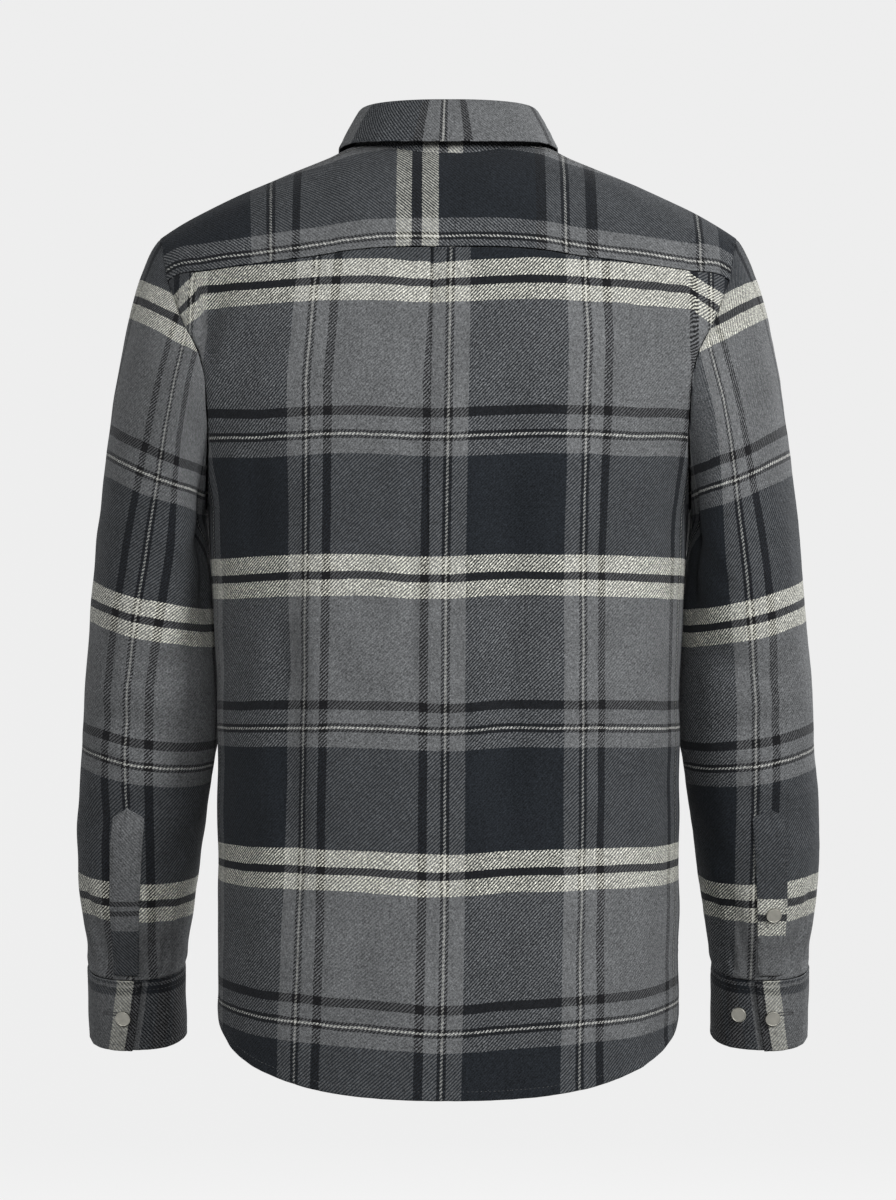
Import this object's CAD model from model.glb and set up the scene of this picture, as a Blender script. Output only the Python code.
# Looks of a long-sleeved plaid flannel shirt, filled out with nobody in it.
# Lengths are millimetres until a mesh is made; +Z is up, the back faces +Y and +X is the wearer's left.
import math

import bpy
import numpy as np
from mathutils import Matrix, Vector


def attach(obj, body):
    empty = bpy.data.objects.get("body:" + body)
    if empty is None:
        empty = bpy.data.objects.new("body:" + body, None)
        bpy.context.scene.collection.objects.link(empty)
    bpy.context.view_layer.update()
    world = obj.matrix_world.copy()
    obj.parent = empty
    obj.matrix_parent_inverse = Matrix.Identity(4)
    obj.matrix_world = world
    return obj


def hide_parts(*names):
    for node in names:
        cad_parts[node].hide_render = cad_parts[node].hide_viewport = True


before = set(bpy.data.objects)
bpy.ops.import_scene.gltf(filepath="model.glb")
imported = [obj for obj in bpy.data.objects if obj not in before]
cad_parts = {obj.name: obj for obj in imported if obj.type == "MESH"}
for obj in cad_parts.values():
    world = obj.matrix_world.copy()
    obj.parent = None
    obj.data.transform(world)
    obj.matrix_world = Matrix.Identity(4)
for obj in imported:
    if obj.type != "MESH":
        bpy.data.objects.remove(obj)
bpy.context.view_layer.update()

MM = 0.001
DEG = math.pi / 180
MIRROR = np.array([-1, 1, 1])

# ---------------------------------------------------------------- sizes shared with the CAD part
WALL = 1.3
SEAM_GAP = 0.3
SEAM_ROW = SEAM_GAP / 2 / 130
RING_POWER = 2.4
ARCH_LEVEL = -200.0
ROW_PITCH = 100.0
ARCH_BACK = 2.2
ARCH_FRONT = 1.5
UNDERARM_ROW = 1.9
SIDE_ANGLE = 89.97

# row, half width, back depth, front depth
BODY = [
    [0.00, 245.0, 119, 112], [0.50, 237.0, 120, 114], [1.00, 222.0, 122.5, 119.5],
    [1.50, 201.5, 125.5, 128], [1.90, 191.7, 127, 132], [2.62, 187.7, 126, 131],
    [3.05, 185.3, 124, 128], [3.70, 184.0, 122, 125], [5.20, 183.6, 124, 123], [6.60, 183.6, 125, 123],
]
# half width, height of the shoulder ridge
RIDGE = [
    [0, 10.0], [45, 7.0], [75, 0.0], [96, -9.6], [135, -25.6], [172, -41.6], [205, -57.6], [231, -73.8], [246, -84.0],
]
# square root of the rows above the underarm, back angle, front angle
ARMHOLE = [
    [0.000, 89.9, 89.9], [0.300, 79.4, 78.6], [0.573, 69.1, 67.0], [0.800, 59.8, 57.4], [0.900, 56.3, 53.8],
    [0.960, 54.9, 53.0], [1.010, 56.6, 54.2], [1.060, 61.6, 58.0], [1.110, 64.8, 62.0], [1.178, 67.9, 66.2],
    [1.378, 68.6, 68.6],
]
NECK_HALF_WIDTH = 75.0
NECK_BACK = 60.0
NECK_FRONT = 72.0
SHOULDER_SEAM_FORWARD = 22.0
# share of the way from the middle to the armhole, back row, front row
YOKE_SEAM = [
    [0.000, 0.677, 0.200], [0.204, 0.668, 0.198], [0.743, 0.593, 0.280], [0.930, 0.548, 0.333], [1.000, 0.550, 0.350],
]
BACK_U = [0, 0.045, 0.085, 0.125, 0.17, 0.24, 0.32, 0.4, 0.49, 0.58, 0.67, 0.76, 0.84, 0.91, 0.96, 1]
SHOULDER_U = [0.29, 0.4, 0.54, 0.68, 0.82, 0.93, 1]
NECK_BACK_TURNS = [0, 15, 30, 46, 62, 76, 90]
HEM_SIDE = -684.0
HEM_DIP_BACK = 57.5
HEM_DIP_FRONT = 50.0
FRONT_LAP = 17.0
LAP_DROP = 2.6

# x0, z0, x1, z1, width, depth; a trough is negative
BACK_FOLDS = [
    [-54, -205, -50, -520, 17, -4.0], [-84, -230, -88, -470, 20, 2.6], [152, -245, 150, -325, 12, -3.2],
    [128, -380, 126, -430, 12, -2.6], [-148, -122, -176, -205, 11, -3.6], [176, -112, 196, -190, 9, -3.4],
    [-172, -112, -192, -190, 9, -3.4], [92, -260, 84, -560, 24, 2.4], [20, -420, 30, -640, 20, -2.2],
    [-120, -520, -104, -660, 18, -2.6],
]
FRONT_FOLDS = [
    [-104, -190, -76, -420, 18, -3.8], [94, -225, 70, -450, 18, -3.4], [150, -230, 138, -420, 14, -3.0],
    [-148, -250, -140, -380, 12, -2.8], [60, -480, 76, -650, 20, -2.8], [-58, -430, -80, -620, 18, -3.0],
]
PLEAT_REACH = 40.0
PLEAT_END = -345.0

# z, outer x, inner x, y, half depth, pitch
SLEEVE = [
    [-332, 283.6, 191.0, -14, 71, 3], [-362, 286.7, 189.2, -20, 70, 4], [-400, 290.6, 187.2, -25, 66, 6],
    [-442, 294.5, 186.0, -31, 62, 8], [-475, 297.0, 187.4, -36, 59, 9], [-492, 298.3, 190.4, -38, 57.5, 10],
    [-524, 301.0, 195.6, -44, 55, 11], [-560, 302.6, 200.8, -51, 52, 12], [-594, 301.8, 205.8, -58, 49, 13],
    [-624, 299.4, 210.4, -65, 45, 13], [-648, 296.2, 215.0, -71, 41, 13], [-661.7, 296.6, 217.0, -74.2, 39.6, 13],
]
SLEEVE_POWER = 2.2
SLEEVE_TOP = -362.0
SLEEVE_END = -661.7
# angle0, z0, angle1, z1, width, depth
SLEEVE_FOLDS = [
    [30, -395, 120, -430, 15, -3.4], [55, -470, 140, -452, 13, -2.8], [70, -520, 150, -548, 14, -3.0],
    [150, -585, 118, -662, 7, -3.0], [60, -600, 72, -662, 8, -2.4], [230, -420, 330, -450, 15, -3.4],
    [215, -505, 320, -490, 14, -3.0], [300, -590, 290, -662, 8, -2.6], [235, -600, 246, -662, 8, -2.6],
]
FOLD_ARC = 0.87

CUFF_HEIGHT = 60.0
CUFF_HALF_WIDTH = 40.2
CUFF_HALF_DEPTH = 39.6
CUFF_CENTRE = [257.2, -74.6, -662.3]
CUFF_PITCH = 13.0
CUFF_LAP_END = 80.0
CUFF_LAP_SLANT = 11.0
CUFF_LAP = 54.0
CUFF_LAP_STEP = 1.35

STAND_LEAN_SIDE = 8.5
STAND_LEAN_BACK = 11.0
STAND_LEAN_FRONT = 2.0
STAND_LAP_STEP = 1.4
STAND_TOP = [[-90, -32], [-60, -17], [-30, 8], [0, 22], [40, 23], [90, 22.5]]
LEAF_EDGE = [
    [-84, 44, -101, -104], [-76, 57, -95, -94], [-60, 78, -77, -66], [-32, 89, -42, -27],
    [0, 87.3, -2, -1.2], [32, 76, 36, -1.5], [60, 48.5, 62, -3.8], [90, 0, 72.5, -5.4],
]
LEAF_FOLD = [[0.0, 1.35], [0.2, 4.6], [1.6, 6.9], [3.9, 7.3], [5.8, 5.4]]
FRONT_BUTTON_LEVELS = [-128, -222, -316, -410, -504, -598]


# ---------------------------------------------------------------- small maths
def mix(a, b, t):
    return a + (b - a) * t


def smooth(edge0, edge1, value):
    t = np.clip((value - edge0) / (edge1 - edge0), 0, 1)
    return t * t * (3 - 2 * t)


def power(value, exponent):
    return np.sign(value) * np.abs(value) ** exponent


def unit(vectors):
    return vectors / np.maximum(np.linalg.norm(vectors, axis=-1, keepdims=True), 1e-9)


def curve(table, column):
    """Monotone cubic through one column of a table whose first column rises."""
    xs = np.array([row[0] for row in table], float)
    ys = np.array([row[column] for row in table], float)
    slopes = np.diff(ys) / np.diff(xs)
    tangents = np.zeros(len(xs))
    tangents[0], tangents[-1] = slopes[0], slopes[-1]
    for i in range(1, len(xs) - 1):
        product = slopes[i - 1] * slopes[i]
        tangents[i] = 0 if product <= 0 else 2 * product / (slopes[i - 1] + slopes[i])

    def at(x):
        value = np.clip(x, xs[0], xs[-1])
        i = np.clip(np.searchsorted(xs, value, side="left") - 1, 0, len(xs) - 2)
        h = xs[i + 1] - xs[i]
        t = (value - xs[i]) / h
        start = (1 + 2 * t) * (1 - t) ** 2 * ys[i] + t * (1 - t) ** 2 * h * tangents[i]
        return start + t * t * (3 - 2 * t) * ys[i + 1] + t * t * (t - 1) * h * tangents[i + 1]

    return at


def ripple(x, y, size, seed, count=7):
    """Smooth noise of about -1 to 1 from a few seeded waves; size is the usual wavelength."""
    rng = np.random.RandomState(seed)
    total = 0.0
    for _ in range(count):
        turn = rng.uniform(0, 2 * math.pi)
        length = size * rng.uniform(0.6, 1.7)
        phase = rng.uniform(0, 2 * math.pi)
        total = total + np.sin((x * math.cos(turn) + y * math.sin(turn)) * 2 * math.pi / length + phase)
    return total / math.sqrt(count) / 1.4


half_width_at = curve(BODY, 1)
back_depth_at = curve(BODY, 2)
front_depth_at = curve(BODY, 3)
ridge_at = curve(RIDGE, 1)
armhole_back = curve(ARMHOLE, 1)
armhole_front = curve(ARMHOLE, 2)
yoke_back_row = curve(YOKE_SEAM, 1)
yoke_front_row = curve(YOKE_SEAM, 2)
SLEEVE_DOWN = [[-row[0]] + row[1:] for row in SLEEVE]
sleeve_outer = curve(SLEEVE_DOWN, 1)
sleeve_inner = curve(SLEEVE_DOWN, 2)
sleeve_y = curve(SLEEVE_DOWN, 3)
sleeve_depth = curve(SLEEVE_DOWN, 4)
sleeve_pitch = curve(SLEEVE_DOWN, 5)
stand_top_at = curve(STAND_TOP, 1)
leaf_edge_at = [curve(LEAF_EDGE, column) for column in (1, 2, 3)]


# ---------------------------------------------------------------- torso form
def edge_angle(row):
    drop = np.sqrt(np.maximum(UNDERARM_ROW - np.abs(row), 0))
    angle = np.where(row < 0, armhole_front(drop), armhole_back(drop))
    return np.where(np.abs(row) >= UNDERARM_ROW, SIDE_ANGLE, angle)


def torso_form(angle, row):
    angle, row = np.broadcast_arrays(np.asarray(angle, float), np.asarray(row, float))
    depth_row = np.abs(row)
    back = row >= 0
    depth = np.where(back, back_depth_at(depth_row), front_depth_at(depth_row))
    x = half_width_at(depth_row) * power(np.sin(angle * DEG), 2 / RING_POWER)
    reach = depth * power(np.cos(angle * DEG), 2 / RING_POWER)
    arch = np.minimum(depth_row, 1) * math.pi / 2
    exponent = np.where(back, 2 / ARCH_BACK, 2 / ARCH_FRONT)
    y = np.where(back, 1, -1) * reach * np.sin(arch) ** exponent
    high = ARCH_LEVEL + (ridge_at(np.abs(x)) - ARCH_LEVEL) * np.clip(np.cos(arch), 0, 1) ** exponent
    z = np.where(depth_row >= 1, ARCH_LEVEL - (depth_row - 1) * ROW_PITCH, high)
    return np.stack([x, y, z], -1)


def torso_normal(angle, row):
    angle, row = np.broadcast_arrays(np.asarray(angle, float), np.asarray(row, float))
    a = np.abs(angle)
    across = torso_form(np.minimum(a + 0.4, 90), row) - torso_form(a - 0.4, row)
    down = torso_form(a, row + 0.01) - torso_form(a, row - 0.01)
    normal = unit(np.cross(across, down))
    point = torso_form(a, row)
    guide = point + np.stack([0 * a, np.where(row < 0, -1, 1), 0 * a], -1)
    guide[..., 2] = np.where(np.abs(row) < 1, 60, 0)
    normal = normal * np.where((normal * guide).sum(-1) < 0, -1, 1)[..., None]
    normal[..., 0] *= np.where(angle < 0, -1, 1)
    return normal


def fold_depth(x, z, folds):
    total = 0.0
    for x0, z0, x1, z1, width, depth in folds:
        along = ((x - x0) * (x1 - x0) + (z - z0) * (z1 - z0)) / ((x1 - x0) ** 2 + (z1 - z0) ** 2)
        t = np.clip(along, -0.2, 1.2)
        away = np.hypot(x - mix(x0, x1, t), z - mix(z0, z1, t))
        fade = smooth(-0.2, 0.25, along) * (1 - smooth(0.75, 1.2, along))
        total = total + depth * fade * np.exp(-((away / width) ** 2))
    return total


def calm_near_seams(u, z):
    return (1 - smooth(0.9, 0.99, np.abs(u))) * smooth(-72, -130, z)


def calm_edges(reach, *runs):
    """0 at every edge that the runs are measured from, 1 from reach inwards."""
    return math.prod(smooth(0, reach, run) for run in runs)


def neck_coordinates(x, y):
    """u and row of a plan position near the neck."""
    x, y = np.broadcast_arrays(np.asarray(x, float), np.asarray(y, float))
    back = y >= 0
    row = np.where(back, 0.3, -0.3)
    angle = 0 * x
    for _ in range(12):
        depth_row = np.abs(row)
        angle = np.arcsin((np.abs(x) / half_width_at(depth_row)) ** (RING_POWER / 2)) / DEG
        depth = np.where(back, back_depth_at(depth_row), front_depth_at(depth_row))
        reach = depth * np.cos(angle * DEG) ** (2 / RING_POWER)
        exponent = np.where(back, ARCH_BACK, ARCH_FRONT) / 2
        sine = np.clip((np.abs(y) / reach) ** exponent, 0, 1)
        row = np.where(back, 1, -1) * np.arcsin(sine) / DEG / 90
    return angle / edge_angle(row) * np.where(x < 0, -1, 1), row


def neck_plan(angle):
    angle = np.asarray(angle, float)
    forward = NECK_FRONT * np.sin(angle * DEG)
    past = np.clip((-forward - SHOULDER_SEAM_FORWARD) / (NECK_FRONT - SHOULDER_SEAM_FORWARD), 0, 1)
    x = np.where(angle >= 0, NECK_HALF_WIDTH * np.cos(angle * DEG), NECK_HALF_WIDTH * np.sqrt(1 - past * past))
    return x, np.where(angle >= 0, NECK_BACK * np.sin(angle * DEG), forward)


def neck_point(angle):
    x, y = neck_plan(angle)
    u, row = neck_coordinates(x, y)
    return torso_form(u * edge_angle(row), row)


def neck_turn_of_x(x):
    past = np.sqrt(np.maximum(1 - (np.asarray(x, float) / NECK_HALF_WIDTH) ** 2, 0))
    y = SHOULDER_SEAM_FORWARD + past * (NECK_FRONT - SHOULDER_SEAM_FORWARD)
    return -np.arcsin(y / NECK_FRONT) / DEG


def hem_row(x, dip):
    f = np.clip(np.abs(x) / half_width_at(6), 0, 1)
    return 1 + (ARCH_LEVEL - (HEM_SIDE - dip * (1 - f**2.5) ** (1 / 2.2))) / ROW_PITCH


def angle_of_x(x, row):
    share = np.clip(np.abs(x) / half_width_at(np.abs(row)), 0, 1)
    return np.arcsin(share ** (RING_POWER / 2)) / DEG * np.sign(x)


# ---------------------------------------------------------------- grids
# Distances from an edge, close together where seams, turnings and topstitching lie.
EDGE_STEPS = [0, 0.7, 1.6, 2.6, 3.6, 4.5, 5.5, 6.8, 8.6, 11, 14]


def spaced(length, step, head=EDGE_STEPS, tail=EDGE_STEPS):
    """Distances along a strip: fine at its two ends, even between. Length may be an array of columns."""
    length = np.asarray(length, float)
    count = max(2, int(round((length.mean() - head[-1] - tail[-1]) / step)))
    rows = [0 * length + d for d in head]
    rows += [head[-1] + (length - head[-1] - tail[-1]) * k / count for k in range(1, count)]
    rows += [length - d for d in reversed(tail)]
    return np.stack(rows)


def run_down(points):
    step = np.linalg.norm(np.diff(points, axis=0), axis=-1)
    return np.concatenate([np.zeros((1,) + step.shape[1:]), np.cumsum(step, 0)])


def run_across(points):
    return run_down(points.swapaxes(0, 1)).swapaxes(0, 1)


def column_rows(top, bottom, place, step, head=EDGE_STEPS, tail=EDGE_STEPS):
    """Rows down each column, set by length on the form. place(row) gives every column's points."""
    trial = np.linspace(0, 1, 240)[:, None] * (bottom - top) + top
    length = run_down(place(trial))
    wanted = spaced(length[-1], step, head, tail)
    return np.stack([np.interp(wanted[:, j], length[:, j], trial[:, j]) for j in range(len(top))], 1)


def grid_normals(points, closed, outward):
    if closed:
        across = np.roll(points, -1, 1) - np.roll(points, 1, 1)
    else:
        across = np.gradient(points, axis=1)
    normals = unit(np.cross(across, np.gradient(points, axis=0)))
    return normals * np.where((normals * outward).sum(-1) < 0, -1, 1)[..., None]


def torso_outward(points):
    out = points.copy()
    out[..., 2] = np.where(points[..., 2] > ARCH_LEVEL, 40, 0)
    return out


class Cloth:
    """A grid of points on a piece of cloth, with its normals, its flat-cloth places and its run from each edge."""

    def __init__(self, points, outward, closed=False):
        self.closed = closed
        self.points = points
        self.outward = outward
        self.normals = grid_normals(points, closed, outward)
        self.down = run_down(points)
        self.up = self.down[-1] - self.down
        self.left = run_across(points)
        self.right = self.left[:, -1:] - self.left
        self.uv = None

    def lift(self, height):
        self.points = self.points + self.normals * np.asarray(height)[..., None]
        self.normals = grid_normals(self.points, self.closed, self.outward)

    def at(self, i, j):
        """Point and normal at fractional grid places."""
        rows, cols = self.points.shape[:2]
        i0 = np.clip(np.floor(i).astype(int), 0, rows - 2)
        fi = (i - i0)[:, None]
        if self.closed:
            j0 = np.floor(j).astype(int)
            fj = (j - j0)[:, None]
            j0, j1 = j0 % cols, (j0 + 1) % cols
        else:
            j0 = np.clip(np.floor(j).astype(int), 0, cols - 2)
            fj = (j - j0)[:, None]
            j1 = j0 + 1
        found = []
        for grid in (self.points, self.normals):
            top = mix(grid[i0, j0], grid[i0, j1], fj)
            low = mix(grid[i0 + 1, j0], grid[i0 + 1, j1], fj)
            found.append(mix(top, low, fi))
        return found[0], unit(found[1])


# ---------------------------------------------------------------- meshes
# How far a wall's edge narrows on each face, and how far its middle stands out, as shares of the wall.
EDGE_ROUNDING = 0.2
EDGE_BULGE = 0.22


def new_mesh(name, points, quads, material, uvs=None, mirrored=False):
    """A smooth mesh object from points in millimetres. Quads may be triangles with a repeated corner."""
    points = np.asarray(points, float) * (MIRROR if mirrored else 1)
    a, b, c, d = (points[quads[:, k]] for k in range(4))
    volume = (a * np.cross(b, c)).sum() + (a * np.cross(c, d)).sum()
    if volume < 0:
        quads = quads[:, ::-1]
        uvs = None if uvs is None else uvs[:, ::-1]
    keep = quads != np.roll(quads, -1, 1)
    corners, sizes = quads[keep], keep.sum(1)
    mesh = bpy.data.meshes.new(name)
    mesh.vertices.add(len(points))
    mesh.vertices.foreach_set("co", (points * MM).astype(np.float32).ravel())
    mesh.loops.add(len(corners))
    mesh.loops.foreach_set("vertex_index", corners.astype(np.int32))
    mesh.polygons.add(len(sizes))
    starts = np.concatenate([[0], np.cumsum(sizes)[:-1]]).astype(np.int32)
    mesh.polygons.foreach_set("loop_start", starts)
    mesh.update(calc_edges=True)
    if uvs is not None:
        layer = mesh.uv_layers.new(name="cloth")
        layer.data.foreach_set("uv", (uvs[keep] * MM).astype(np.float32).ravel())
    mesh.shade_smooth()
    mesh.materials.append(material)
    piece = bpy.data.objects.new(name, mesh)
    bpy.context.scene.collection.objects.link(piece)
    return piece


def ring_quads(rings, count, wrap=False):
    """Quads between rings of count points each; wrap joins the last ring to the first."""
    k = np.arange(count)
    n = (k + 1) % count
    quads = []
    for ring in range(rings if wrap else rings - 1):
        here, there = ring * count, (ring + 1) % rings * count
        quads.append(np.stack([here + k, here + n, there + n, there + k], 1))
    return np.concatenate(quads)


def shell(name, cloth, material, wall=WALL, mirrored=False, both_sides=False):
    """Closed thin shell round a cloth grid, with rounded edges. both_sides centres the wall on the grid."""
    points, normals, closed, uv = cloth.points, cloth.normals, cloth.closed, cloth.uv
    rows, cols = points.shape[:2]
    outer = points + normals * (wall / 2 if both_sides else 0)
    inner = outer - normals * wall
    index = np.arange(rows * cols).reshape(rows, cols)
    inside = index + rows * cols
    if closed:
        rims = [(np.full(cols, i), np.arange(cols)) for i in (0, rows - 1)]
    else:
        ring = [(0, j) for j in range(cols)] + [(i, cols - 1) for i in range(1, rows)]
        ring += [(rows - 1, j) for j in range(cols - 2, -1, -1)] + [(i, 0) for i in range(rows - 2, 0, -1)]
        rims = [np.array(ring).T]
    i, j = np.meshgrid(np.arange(rows - 1), np.arange(cols if closed else cols - 1), indexing="ij")
    i, j = i.ravel(), j.ravel()
    near = (j + 1) % cols
    corner_uv = np.stack([uv[i, j], uv[i + 1, j], uv[i + 1, j + 1], uv[i, j + 1]], 1)
    quads = [
        np.stack([index[i, j], index[i + 1, j], index[i + 1, near], index[i, near]], 1),
        np.stack([inside[i, near], inside[i + 1, near], inside[i + 1, j], inside[i, j]], 1),
    ]
    uvs = [corner_uv, corner_uv[:, ::-1]]
    middles = []
    base = 2 * rows * cols
    for ri, rj in rims:
        in_i = np.clip(ri, 1, rows - 2)
        in_j = rj if closed else np.clip(rj, 1, cols - 2)
        away = unit(points[ri, rj] - points[in_i, in_j])
        outer[ri, rj] -= normals[ri, rj] * wall * EDGE_ROUNDING
        inner[ri, rj] += normals[ri, rj] * wall * EDGE_ROUNDING
        middles.append((outer[ri, rj] + inner[ri, rj]) / 2 + away * wall * EDGE_BULGE)
        ids = base + np.arange(len(ri))
        base += len(ri)
        flip = -1 if closed and ri[0] > 0 else 1
        for low, high in ((index[ri, rj], ids), (ids, inside[ri, rj])):
            quad = np.stack([low, np.roll(low, -1), np.roll(high, -1), high], 1)
            quads.append(quad[:, ::flip])
            uvs.append(np.repeat(uv[ri, rj][:, None], 4, 1))
    everything = np.concatenate([outer.reshape(-1, 3), inner.reshape(-1, 3)] + middles)
    return new_mesh(name, everything, np.concatenate(quads), material, np.concatenate(uvs), mirrored)


def threads(name, lines, material, length=2.5, gap=0.9, width=0.62, height=0.5, mirrored=False):
    """Rows of stitches: each a short spindle lying along its line. A line is (points, normals)."""
    points, faces, base = [], [], 0
    for path, normals in lines:
        run = run_down(path)
        count = int(run[-1] // (length + gap))
        if count < 1:
            continue
        starts = np.arange(count) * (length + gap) + 0.5 * (run[-1] - count * (length + gap))

        def where(distance, grid):
            return np.stack([np.interp(distance, run, grid[:, k]) for k in range(3)], 1)

        a, m, b = (where(starts + share * length, path) for share in (0, 0.5, 1))
        up = unit(where(starts + length / 2, normals))
        side = unit(np.cross(b - a, up)) * width / 2
        lift = up * height * 0.5
        ring = [m + lift + up * height * 0.35, m + lift * 0.6 + side, m - lift * 0.3, m + lift * 0.6 - side]
        points.append(np.stack([a - up * 0.1] + ring + [b - up * 0.1], 1).reshape(-1, 3))
        first = base + np.arange(count) * 6
        base += count * 6
        for k in range(4):
            here, there = first + 1 + k, first + 1 + (k + 1) % 4
            faces.append(np.stack([first, here, there, there], 1))
            faces.append(np.stack([first + 5, there, here, here], 1))
    return new_mesh(name, np.concatenate(points), np.concatenate(faces), material, mirrored=mirrored)


def row_line(cloth, distance, below=True, start=0.0, stop=1.0, count=600):
    """Points along a piece at one distance from its top (or bottom) edge."""
    run = cloth.down if below else cloth.up
    rows, cols = run.shape
    last = cols if cloth.closed else cols - 1
    js = np.linspace(start * last, stop * last, count)
    order = 1 if below else -1
    places = np.array([np.interp(distance, run[::order, j], np.arange(rows)[::order]) for j in range(cols)])
    i = np.interp(js % cols if cloth.closed else js, np.arange(cols), places)
    return cloth.at(i, js)


def column_line(cloth, distance, from_left=True, start=0.0, stop=1.0, count=500):
    """Points down a piece at one distance from its left (or right) edge."""
    run = cloth.left if from_left else cloth.right
    rows, cols = run.shape
    order = 1 if from_left else -1
    places = np.array([np.interp(distance, run[i, ::order], np.arange(cols)[::order]) for i in range(rows)])
    i = np.linspace(start * (rows - 1), stop * (rows - 1), count)
    return cloth.at(i, np.interp(i, np.arange(rows), places))


def groove(distance, at, width=0.9, depth=0.35):
    return -depth * np.exp(-(((distance - at) / width) ** 2))


def pucker(along, away, reach, seed, depth=0.35, size=9.0):
    """Small gathers that a stitched edge draws into the cloth."""
    return depth * ripple(along, away * 0.25, size, seed) * np.exp(-((away / reach) ** 2))


# ---------------------------------------------------------------- materials
def srgb(red, green, blue):
    parts = [c / 255 for c in (red, green, blue)]
    return [c / 12.92 if c <= 0.04045 else ((c + 0.055) / 1.055) ** 2.4 for c in parts] + [1.0]


# Yarn colours as shown brightness of each channel; they are blended as such and turned into light at the end.
YARNS = {
    "D": (0.150, 0.163, 0.180, 1), "G": (0.420, 0.426, 0.432, 1), "L": (0.466, 0.472, 0.478, 1),
    "W": (0.850, 0.847, 0.800, 1), "T": (0.72, 0.72, 0.70, 1), "K": (0.125, 0.125, 0.132, 1),
}
TWILL_PITCH = 2.9
# half widths of a thin line's black and white threads
THIN_BLACK = 3.4
THIN_WHITE = 0.9
LONG_CHART = 300


class Graph:
    def __init__(self, name):
        self.material = bpy.data.materials.new(name)
        self.material.use_nodes = True
        self.tree = self.material.node_tree
        self.tree.nodes.clear()

    def node(self, kind, inputs=(), **settings):
        made = self.tree.nodes.new(kind)
        for key, value in settings.items():
            setattr(made, key, value)
        for key, value in dict(inputs).items():
            self.put(made.inputs[key], value)
        return made

    def put(self, socket, value):
        if isinstance(value, bpy.types.NodeSocket):
            self.tree.links.new(value, socket)
        else:
            socket.default_value = value

    def math(self, operation, *values):
        made = self.tree.nodes.new("ShaderNodeMath")
        made.operation = operation
        for k, value in enumerate(values):
            self.put(made.inputs[k], value)
        return made.outputs[0]

    def blend(self, factor, first, second, kind="MIX"):
        made = self.tree.nodes.new("ShaderNodeMix")
        made.data_type = "RGBA"
        made.blend_type = kind
        self.put(made.inputs["Factor"], factor)
        self.put(made.inputs["A"], first)
        self.put(made.inputs["B"], second)
        return made.outputs["Result"]

    def total(self, *values):
        found = values[0]
        for value in values[1:]:
            found = self.math("ADD", found, value)
        return found

    def times(self, value, factor):
        return self.math("MULTIPLY", value, factor)

    def noise(self, place, scale, detail=2.0, **settings):
        inputs = {"Vector": place, "Scale": scale, "Detail": detail}
        inputs["Roughness"] = settings.pop("roughness", 0.5)
        return self.node("ShaderNodeTexNoise", inputs=inputs, **settings).outputs[0]

    def bump(self, height, strength, distance):
        inputs = {"Strength": strength, "Distance": distance, "Height": height}
        return self.node("ShaderNodeBump", inputs=inputs).outputs[0]

    def finish(self, **inputs):
        """The surface itself; input names are written with underscores."""
        named = {key.replace("_", " "): value for key, value in inputs.items()}
        shader = self.node("ShaderNodeBsdfPrincipled", inputs=named)
        self.node("ShaderNodeOutputMaterial", inputs={"Surface": shader.outputs[0]})
        return self.material


def stripes(graph, coordinate, text, start):
    """Yarn colour across one direction. The chart lists stripes; '|' thin lines are a white one between two black."""
    chart = [(word[0], float(word[1:])) for word in text.split()]
    total = sum(width for _, width in chart)
    turned = graph.math("FLOORED_MODULO", graph.math("SUBTRACT", coordinate, start), total)
    wide, lines, at = [], [], 0.0
    for colour, width in chart:
        if colour == "|":
            lines.append(at + width / 2)
            colour = "G"
        if not wide or wide[-1][0] != colour:
            wide.append([colour, at])
        at += width
    # a colour ramp holds 32 stops, so a long chart is split over two
    halves = 2 if total > LONG_CHART else 1
    colours = []
    for half in range(halves):
        low, high = total * half / halves, total * (half + 1) / halves
        ramp = graph.node("ShaderNodeValToRGB")
        ramp.color_ramp.interpolation = "CONSTANT"
        elements = ramp.color_ramp.elements
        elements[0].position, elements[0].color = 0.0, YARNS[[w for w in wide if w[1] <= low][-1][0]]
        elements.remove(elements[1])
        for yarn, place in wide:
            if low < place < high:
                elements.new((place - low) / (high - low)).color = YARNS[yarn]
        graph.put(ramp.inputs[0], graph.math("DIVIDE", graph.math("SUBTRACT", turned, low), high - low))
        colours.append(ramp.outputs[0])
    colour = colours[0]
    if halves == 2:
        colour = graph.blend(graph.math("GREATER_THAN", turned, total / 2), colours[0], colours[1])
    if lines:
        away = None
        for line in lines:
            this = graph.math("ABSOLUTE", graph.math("SUBTRACT", turned, line))
            away = this if away is None else graph.math("MINIMUM", away, this)
        colour = graph.blend(graph.math("LESS_THAN", away, THIN_BLACK), colour, YARNS["K"])
        colour = graph.blend(graph.math("LESS_THAN", away, THIN_WHITE), colour, YARNS["T"])
    return colour


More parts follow.
